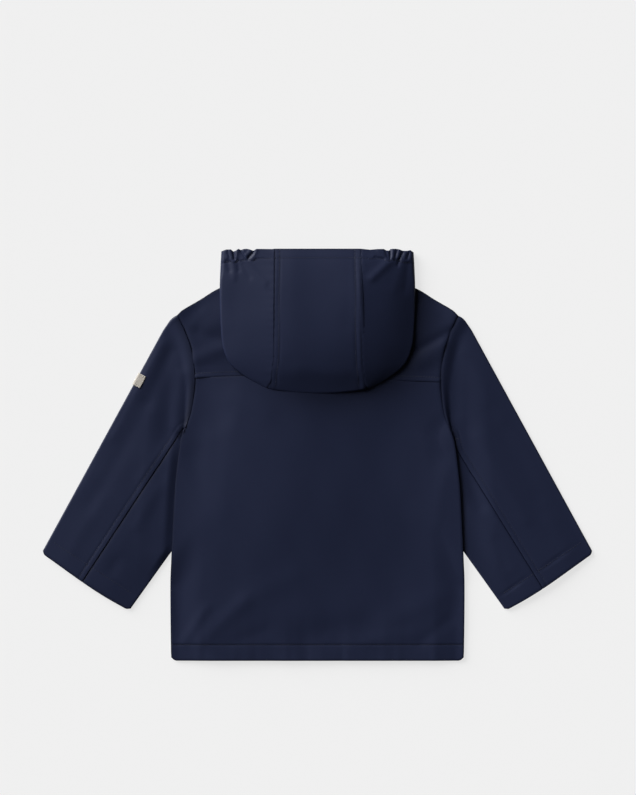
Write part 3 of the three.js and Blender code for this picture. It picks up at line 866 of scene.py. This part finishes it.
def sleeveLabel():
    # a woven tab folded over the outer fold of the left sleeve
    middle = along(outerFold, tab["place"]) + np.array([0.6, 0])
    run = outerFold[-1] - outerFold[-60]
    run /= np.linalg.norm(run)
    inward = np.array([run[1], -run[0]])
    if inward[0] > 0:
        inward = -inward
    rise = sleeveCut["foldRise"] + 1.4
    turn = np.linspace(0, math.pi * 0.62, 12)
    radius = rise / 2
    ins = np.concatenate([np.linspace(tab["onTop"], radius, 26)[:-1], radius * (1 - np.sin(turn))])
    up = np.concatenate([np.ones(25), (1 + np.cos(turn)) / 2])
    across = np.linspace(-tab["width"] / 2, tab["width"] / 2, 34)
    s, d = np.meshgrid(across, ins, indexing="ij")
    lift = np.broadcast_to(up, s.shape)
    plan = middle + run * s[..., None] + inward * (d - tab["past"])[..., None]
    a = np.clip(d / 130, 0, 1)
    rising = sleeveCut["foldRise"] + sleeveCut["crownRise"] * np.sin(math.pi * a)
    z = 0.5 + lift * (rising + 1.25 + tab["room"]) + 0.12 * np.sin(s / 2.4) * lift
    grid = np.stack([-plan[..., 0], plan[..., 1], z], axis=-1)
    piece = clothMesh("sleeveLabel", grid, wall=tab["wall"])
    lines = []
    for shift in (-tab["width"] / 2 + 1.3, tab["width"] / 2 - 1.3):
        ends = [middle + run * shift + inward * v for v in (0.6, tab["onTop"] - 2.4)]
        lines.append(np.array([[-p[0], p[1]] for p in ends]))
    return piece, lines


# ---- the hood ----

hoodLook = {
    # heights of the upper layer: columns run from the left rim over both seams to the right rim
    "across": (-1, -0.75, -0.5, -0.25, 0, 0.25, 0.5, 0.75, 1),
    "heights": {
        hood["mouthY"]: (7.0, 9.5, 12.0, 12.8, 12.8, 13.0, 13.0, 10.0, 6.6),
        222: (8.2, 11.2, 14.8, 16.0, 16.2, 16.6, 17.0, 13.0, 7.0),
        200: (9.4, 13.0, 17.6, 19.0, 19.4, 20.0, 21.0, 15.8, 7.6),
        175: (9.6, 13.8, 19.2, 20.8, 21.4, 22.4, 23.2, 17.8, 7.4),
        150: (9.6, 14.2, 19.6, 21.4, 22.0, 23.0, 23.6, 18.2, 7.8),
        130: (9.4, 14.0, 18.8, 20.8, 21.5, 22.4, 22.6, 17.4, 7.9),
        110: (9.2, 13.4, 17.0, 18.9, 19.5, 20.1, 20.0, 15.4, 7.9),
        95: (9.0, 12.2, 14.8, 16.2, 16.6, 17.0, 16.6, 13.0, 7.9),
        84: (8.8, 10.9, 12.2, 13.0, 13.3, 13.4, 12.9, 10.8, 7.9),
        76: (8.4, 9.6, 10.2, 10.6, 10.8, 10.7, 10.2, 9.2, 7.9),
        70: (8.0, 8.4, 8.7, 8.9, 9.0, 8.9, 8.7, 8.3, 7.9),
    },
    # how far the mouth's edge lies from a straight line: place across, and offset
    "mouth": [
        (-110.1, -2.4), (-105.7, -0.6), (-99.9, -0.4), (-97, -2.9), (-94.1, -1.8), (-91.2, 0.2), (-88.4, -1.1),
        (-84.9, 0), (-81.4, 0.2), (-78, -0.6), (-73.9, -2.1), (-70.5, 0), (-64, 0), (-52, -0.2), (-50, 0.2),
        (50, 0.2), (52, -0.1), (60.6, -0.9), (68.7, -0.2), (76.2, 0), (79.7, -1.8), (82.6, -1.8), (84.3, 0.1),
        (90.7, 0.2), (95.3, -0.7), (98.2, -2.0), (103.4, -2.1), (107.2, -1.2), (110, -3.4),
    ],
    "seamShift": 0.9,     # the right seam lies a little nearer the middle
    "centre": [
        (-30, 225, -34, 120, 12, 0.3),
        (8, 200, 14, 110, 26, 0.3),
        (40, 228, 36, 150, 8, -0.2),
        (-20, 100, 26, 92, 10, 0.3),
    ],
    -1: {
        "puckers": (9.2, 0.10),
        "folds": [
            # across the casing
            (-97, 237.5, -95.3, 227, 1.5, -1.5),
            (-100.5, 237, -98.6, 228, 1.9, 0.7),
            (-92.6, 236.5, -93.6, 228, 1.8, 1.0),
            (-88.4, 236.5, -82.6, 227, 1.2, -1.3),
            (-85.4, 236, -82, 229, 1.5, 0.8),
            (-73.5, 236, -80.2, 226, 1.5, -1.6),
            (-77.5, 236, -81.5, 231, 1.7, 0.8),
            (-70, 237, -75, 227, 2.4, 0.7),
            (-106.5, 236, -104, 228, 2.2, 0.5),
            (-103.3, 236, -101.5, 228, 1.2, -0.5),
            # below it
            (-103.5, 223, -101, 213, 3.0, -0.7),
            (-92, 223, -90.5, 213, 2.6, -0.6),
            (-97.5, 222, -96, 204, 3.6, 0.6),
            (-82.5, 224, -60, 198, 3.6, 0.7),
            (-86, 219, -78, 205, 3.4, -0.5),
            (-104, 205, -105, 150, 9, 0.3),
            (-80, 180, -92, 116, 16, 0.4),
        ],
    },
    1: {
        "puckers": (8.4, 0.08),
        "folds": [
            # across the casing
            (84, 238, 83.7, 226.5, 1.1, -2.0),
            (87.5, 237, 86.6, 228, 1.7, 1.0),
            (78, 236.5, 81, 230, 1.6, -0.8),
            (70, 236, 79, 228.5, 2.0, 0.6),
            (66, 228, 77, 226.5, 1.4, -0.9),
            (91.5, 236, 89.5, 228, 1.1, -0.7),
            (94.4, 236.5, 92.6, 228, 1.5, 0.8),
            (98.5, 236, 94.6, 226, 1.3, -1.1),
            (101.5, 235, 100, 228, 1.7, 0.6),
            (105.3, 235, 103.6, 227, 1.2, -0.8),
            (108, 234, 107, 227, 1.5, 0.5),
            # below it
            (94.5, 225.5, 92.5, 219, 1.9, -1.0),
            (84.9, 223.5, 64, 204, 4.6, 0.9),
            (79, 221, 60, 203, 5.0, 0.6),
            (99, 222, 88, 190, 5.5, 0.4),
            (104, 219, 101, 190, 4.0, -0.5),
            (100, 180, 96, 128, 12, 0.3),
            (74, 176, 82, 112, 14, -0.4),
        ],
    },
}

hoodOutline = smoothLine(hood["outline"], 240)
hoodRows = sorted(body["shoulder"] + [(42, 197.5), (0, body["backNeck"])], reverse=True)


def hoodFloor(x, y):
    # above the body: on the back yoke, and past the shoulder seam and the neckline down on the surface
    across = np.abs(x)
    rows = np.array(hoodRows[::-1])
    edgeY = np.interp(across, rows[:, 0], rows[:, 1])
    away = distanceTo(hoodRows, across, y)[0]
    past = np.where((y < edgeY) & (across < rows[-1, 0]), 0.0, away)
    onYoke = backRise(x, y) + cloth["wall"] + 0.42
    overSeam = 0.8 * (1 - ease(away, hood["drop"] / 2, hood["drop"]))
    return (onYoke + overSeam) * (1 - ease(past, hood["drop"] / 3, hood["drop"]))


def finer(values, at, fine):
    # a smooth curve through the rows of a table
    slopes = np.gradient(values, at, axis=0)
    i = np.clip(np.searchsorted(at, fine) - 1, 0, len(at) - 2)
    step = (at[i + 1] - at[i])[:, None]
    t = (fine[:, None] - at[i][:, None]) / step
    return ((2 * t**3 - 3 * t**2 + 1) * values[i] + (t**3 - 2 * t**2 + t) * step * slopes[i]
            + (3 * t**2 - 2 * t**3) * values[i + 1] + (t**3 - t**2) * step * slopes[i + 1])


def hoodSurface():
    y = np.array(sorted(hoodLook["heights"]), float)
    across = np.array(hoodLook["across"], float)
    table = finer(np.array([hoodLook["heights"][v] for v in sorted(hoodLook["heights"])]), y, fineY)
    parts = []
    for low, high in ((-1, -0.5), (-0.5, 0.5), (0.5, 1)):
        inside = (across >= low) & (across <= high)
        fine = np.linspace(low, high, int(80 * (high - low)) + 1)
        parts.append((fine, finer(table[:, inside].T, across[inside], fine).T))
    return np.concatenate([p[0] for p in parts]), np.concatenate([p[1] for p in parts], axis=1)


fineY = np.linspace(70, hood["mouthY"], 170)
fineAcross, fineHeights = hoodSurface()


def hoodTop(x, y):
    reach = np.interp(y, hoodOutline[::-1, 1], hoodOutline[::-1, 0])
    seam = seamX(y)
    away = np.abs(x)
    side = 0.5 + 0.5 * (away - seam) / np.maximum(reach - seam, 1)
    share = np.sign(x) * np.clip(np.where(away > seam, side, 0.5 * away / seam), 0, 1)
    row = np.clip((y - fineY[0]) / (fineY[1] - fineY[0]), 0, len(fineY) - 1.001)
    column = np.clip(np.interp(share, fineAcross, np.arange(len(fineAcross))), 0, len(fineAcross) - 1.001)
    i, j = np.floor(row).astype(int), np.floor(column).astype(int)
    f, g = row - i, column - j
    return ((1 - f) * ((1 - g) * fineHeights[i, j] + g * fineHeights[i, j + 1])
            + f * ((1 - g) * fineHeights[i + 1, j] + g * fineHeights[i + 1, j + 1]))


def roundFold(radius, steps):
    turn = np.linspace(0, math.pi, steps + 1)
    return radius * (1 - np.sin(turn)), (1 + np.cos(turn)) / 2


def foldedSheet(shares, top, bend, below, upper, lower, relief):
    # each row goes from the top line to the fold and on to the lower line underneath
    rows = []
    for share in shares:
        start, at, end = top(share), bend(share), below(share)
        high = float(hoodTop(at[0], at[1]))
        low = float(hoodFloor(at[0:1], at[1:2])[0]) + 0.5
        radius = (high - low) / 2
        inset, lift = roundFold(radius, 12)
        onTop = np.linspace(np.linalg.norm(start - at), inset[0], upper)[:-1]
        under = np.linspace(inset[-1], np.linalg.norm(end - at), lower)[1:]
        away = np.concatenate([onTop, inset, under])
        raised = np.concatenate([onTop * 0 + 1, lift, under * 0])
        toward = np.where(raised[:, None] > 0.5, start - at, end - at)
        toward = toward / np.linalg.norm(toward, axis=1, keepdims=True)
        rows.append(np.concatenate([at + toward * away[:, None], raised[:, None]], axis=1))
    rows = np.array(rows)
    x, y, raised = rows[..., 0], rows[..., 1], rows[..., 2]
    floor = hoodFloor(x, y) + 0.5
    z = floor + (hoodTop(x, y) + relief(x, y) - floor) * raised
    return np.stack([x, y, z], axis=-1)


def seamX(y, side=0):
    rows = np.array(hood["seam"])[::-1]
    return np.interp(y, rows[:, 1], rows[:, 0]) - hoodLook["seamShift"] * (side > 0)


def casing(x):
    # the elastic casing at the mouth: narrow in the middle, wider where it is gathered
    return hood["casing"] + 3.6 * ease(np.abs(x), 50, 108)


def mouthLine(x):
    # the mouth's edge, pulled into bumps and notches where the elastic gathers it
    rows = np.array(hoodLook["mouth"])
    return hood["mouthY"] + np.interp(x, rows[:, 0], rows[:, 1])


def casingRelief(x, y):
    gathered = ease(np.abs(x), 54, 74)
    return band(mouthLine(x) - y, casing(x), 0.15 + 0.5 * gathered, 0.18 + 0.6 * gathered)


def hoodCentreRelief(x, y):
    edge = seamX(y, np.sign(x)) - np.abs(x)
    relief = folded(x, y, hoodLook["centre"]) + lie(x, y, 41, 0.15) + casingRelief(x, y)
    pucker = 0.08 * np.sin(y * 0.72 + 1.3 * np.sin(y * 0.11)) * np.exp(-((edge - 3) / 4) ** 2)
    # the left side lies over this panel's edge, and the right one under it
    step = np.where(x > 0, 0.1, -0.5) * np.exp(-np.clip(edge, 0, None) / 2.2)
    return relief + step + band(edge, hood["topstitch"], 0.06, 0.45) + pucker


def hoodCentre():
    def x(share, reach):
        return -reach + 2 * reach * share

    def top(share):
        at = x(share, hood["seam"][0][0] + 0.5)
        at -= hoodLook["seamShift"] * max(at, 0) / hood["seam"][0][0]
        return np.array([at, float(mouthLine(at)) - 0.5])

    def bend(share):
        reach = hood["seam"][-1][0] + 1.0
        at = x(share, reach)
        low, side = hood["crownY"]
        return np.array([at, low + (side - low) * (at / reach) ** 2])

    def below(share):
        reach = hood["seam"][0][0]
        at = x(share, reach)
        return np.array([at, body["backNeck"] + (hood["sideNeck"] - body["backNeck"]) * (at / reach) ** 2])

    grid = foldedSheet(np.linspace(0, 1, 52), top, bend, below, 78, 26, hoodCentreRelief)
    return clothMesh("hoodCentre", grid)


def hoodSideRelief(side):
    look = hoodLook[side]
    period, height = look["puckers"]

    def relief(x, y):
        edge = np.clip(np.abs(x) - seamX(y, side), 0, None)
        total = folded(x, y, look["folds"]) + lie(x, y, 50 + side, 0.15) + casingRelief(x, y)
        pucker = height * np.sin(2 * math.pi * y / period + 1.8 * np.sin(y / 23)) * np.exp(-edge / 7)
        return 0.75 * total + pucker - (0.7 if side > 0 else 0.0) * np.exp(-edge / 0.9) + 0.2
    return relief


def hoodSide(side):
    clear = np.array([0.3, 0])
    mirror = np.array([side, 1])
    seamEnd = 84.5
    lowerLine = evenly([(98, hood["mouthY"] - 2), (80, 221), (62, 207), (50.5, hood["sideNeck"]), (53, 160), (54.2, 120),
                        (55.2, seamEnd)], 200)

    def top(share):
        y = hood["mouthY"] + (seamEnd - hood["mouthY"]) * share
        return (np.array([float(seamX(y, side)) - 0.9, y]) + clear) * mirror

    def bend(share):
        at = along(hoodOutline, np.array([share * 0.985]))[0]
        return (at + clear) * mirror

    def below(share):
        return (along(lowerLine, np.array([share]))[0] + clear) * mirror

    shares = np.concatenate([np.linspace(0, 0.16, 24), np.linspace(0.16, 1, 70)[1:]])
    grid = foldedSheet(shares, top, bend, below, 84, 20, hoodSideRelief(side))
    # the mouth's edge follows the scalloped line
    x, y = grid[..., 0], grid[..., 1]
    near = ease(y, hood["mouthY"] - 16, hood["mouthY"])
    grid[..., 1] = y + near * (mouthLine(x) - 0.5 - hood["mouthY"])
    return clothMesh("hoodSideLeft" if side < 0 else "hoodSideRight", grid)


def frontStrip(side):
    # the part of a hood side that runs below the coat, from the shoulder to the middle of the front neckline
    lower = smoothLine([(99, 201), (69.5, 213.4), (56.2, 187), (34, 163.6), (0.8, 151.7)], 60)
    upper = smoothLine([(99, 231), (78, 219.2), (60, 201.6), (34, 180.6), (0.8, 168.6)], 60)
    share = np.linspace(0, 1, 7)[:, None, None]
    plan = lower[None] + (upper - lower)[None] * share
    z = np.full(plan.shape[:2], 0.55)
    return clothMesh("frontStrip", np.stack([plan[..., 0] * side, plan[..., 1], z], axis=-1))


def joined(name, parts):
    points, faces = [], []
    for part in parts:
        base = len(points)
        points += [tuple(v.co) for v in part.data.vertices]
        faces += [tuple(base + v for v in p.vertices) for p in part.data.polygons]
        bpy.data.objects.remove(part)
    return meshFrom(name, np.array(points), faces)


# ---- the coat ----

def pale(piece, node, finish=navyCloth):
    return place(piece, node, "coated_cloth", finish)


back = pale(backPanel(), "back_panel")
yoke = pale(backYoke(), "back_yoke")
# painted shadow of the hood on the back and the yoke
for piece in (back, yoke):
    darken(piece, nearHood)
fronts = {side: pale(front(side, frontRest[side]), node)
          for side, node in ((-1, "front_left"), (1, "front_right"))}
for index in range(1, 6):
    place(studCap(index), f"stud_cap_{index}", "stud_cap", studFinish)
print("body ready")

sleeves, sleeveLines = {}, []
for side, node in ((-1, "sleeve_left"), (1, "sleeve_right")):
    piece, lines = sleeve(side)
    sleeves[side] = pale(piece, node)
    # painted shade along the armhole
    darken(piece, nearArmhole)
    sleeveLines += lines
label, labelLines = sleeveLabel()
place(label, "sleeve_label", "label_tape", labelTape)
print("sleeves ready")

centre = pale(hoodCentre(), "hood_center")
# painted shade in the hood's seams
darken(centre, nearHoodSeam)
sides = {side: pale(joined("hoodSideLeft" if side < 0 else "hoodSideRight", [hoodSide(side), frontStrip(side)]), node)
         for side, node in ((-1, "hood_side_left"), (1, "hood_side_right"))}
print("hood ready")


# ---- stitching ----

def hemLine():
    y = body["hemY"] + backLook["hem"]
    return [(-halfWidth(y) + 1, y), (halfWidth(y) - 1, y)]


def yokeLine():
    x = np.linspace(2 - armAbove[-1][0], armAbove[-1][0] - 2, 60)
    return np.stack([x, body["seamY"] + backLook["yokeStitch"] + seamShift(x)], axis=1)


def hoodLines():
    y = np.linspace(hood["mouthY"] - 1.5, 79, 60)
    x = np.linspace(-108, 108, 90)
    return ([np.stack([side * (seamX(y, side) - hood["topstitch"]), y], axis=1) for side in (-1, 1)],
            [np.stack([x, mouthLine(x) - casing(x)], axis=1)])


seamStitches = stitches("seamStitches", [hemLine(), yokeLine()], [back, yoke], navyThread, "coated_cloth")
sleeveStitches = stitches("sleeveStitches", sleeveLines, sleeves.values(), navyThread, "coated_cloth")
bandLines, casingLines = hoodLines()
hoodStitches = stitches("hoodStitches", bandLines + casingLines, [centre, *sides.values()], navyThread, "coated_cloth")
labelStitches = stitches("labelStitches", labelLines, [label], labelTape, "label_tape")
print("stitching ready")


# ---- a loop over the sides that keeps nothing ----

for side in (-1, 1):
    [sleeveStitches] if side < 0 else []


# ---- floor, light and camera ----

stage = {
    "floor": (0.17, 0.17, 0.17, 1),
    "floorGlow": 0.715,    # a light table: most of its brightness is its own
    "floorSize": 12,
    "world": 0.05,
    # strength, softness in degrees, azimuth the light comes from, elevation
    "suns": {
        "key": (7.3, 44, 138, 20),
        "fill": (0.24, 70, 150, 55),
    },
    "camera": (0.0006, 0.0664, 4.0),
    "lens": 156.8,
}


def makeFloor():
    half = stage["floorSize"] / 2
    mesh = bpy.data.meshes.new("floor")
    mesh.from_pydata([(-half, -half, 0), (half, -half, 0), (half, half, 0), (-half, half, 0)], [], [(0, 1, 2, 3)])
    floor = bpy.data.objects.new("floor", mesh)
    bpy.context.scene.collection.objects.link(floor)
    shader = Shader("paleFloor")
    speck = shader.noise(30, 2, 0.5)
    low, high = (tuple(v * k for v in stage["floor"][:3]) + (1,) for k in (0.998, 1.002))
    mesh.materials.append(shader.finish({
        "Base Color": shader.blend(speck, low, high), "Roughness": 1.0, "Specular IOR Level": 0.0,
        "Emission Color": (1, 1, 1, 1), "Emission Strength": stage["floorGlow"],
    }))


def makeLights():
    world = bpy.data.worlds.new("studio")
    world.use_nodes = True
    background = world.node_tree.nodes["Background"]
    background.inputs["Color"].default_value = (1, 1, 1, 1)
    background.inputs["Strength"].default_value = stage["world"]
    bpy.context.scene.world = world
    for name, (strength, softness, azimuth, elevation) in stage["suns"].items():
        sun = bpy.data.lights.new(name, "SUN")
        sun.energy, sun.angle = strength, math.radians(softness)
        lamp = bpy.data.objects.new(name, sun)
        turn, up = math.radians(azimuth), math.radians(elevation)
        toLight = Vector((math.cos(turn) * math.cos(up), math.sin(turn) * math.cos(up), math.sin(up)))
        lamp.rotation_euler = toLight.to_track_quat("Z", "Y").to_euler()
        bpy.context.scene.collection.objects.link(lamp)


def makeCamera():
    data = bpy.data.cameras.new("camera")
    data.sensor_width, data.lens = 36, stage["lens"]
    camera = bpy.data.objects.new("camera", data)
    camera.location = stage["camera"]
    bpy.context.scene.collection.objects.link(camera)
    bpy.context.scene.camera = camera


makeFloor()
makeLights()
makeCamera()
bpy.context.scene.view_settings.view_transform = "Standard"
print("stage ready")
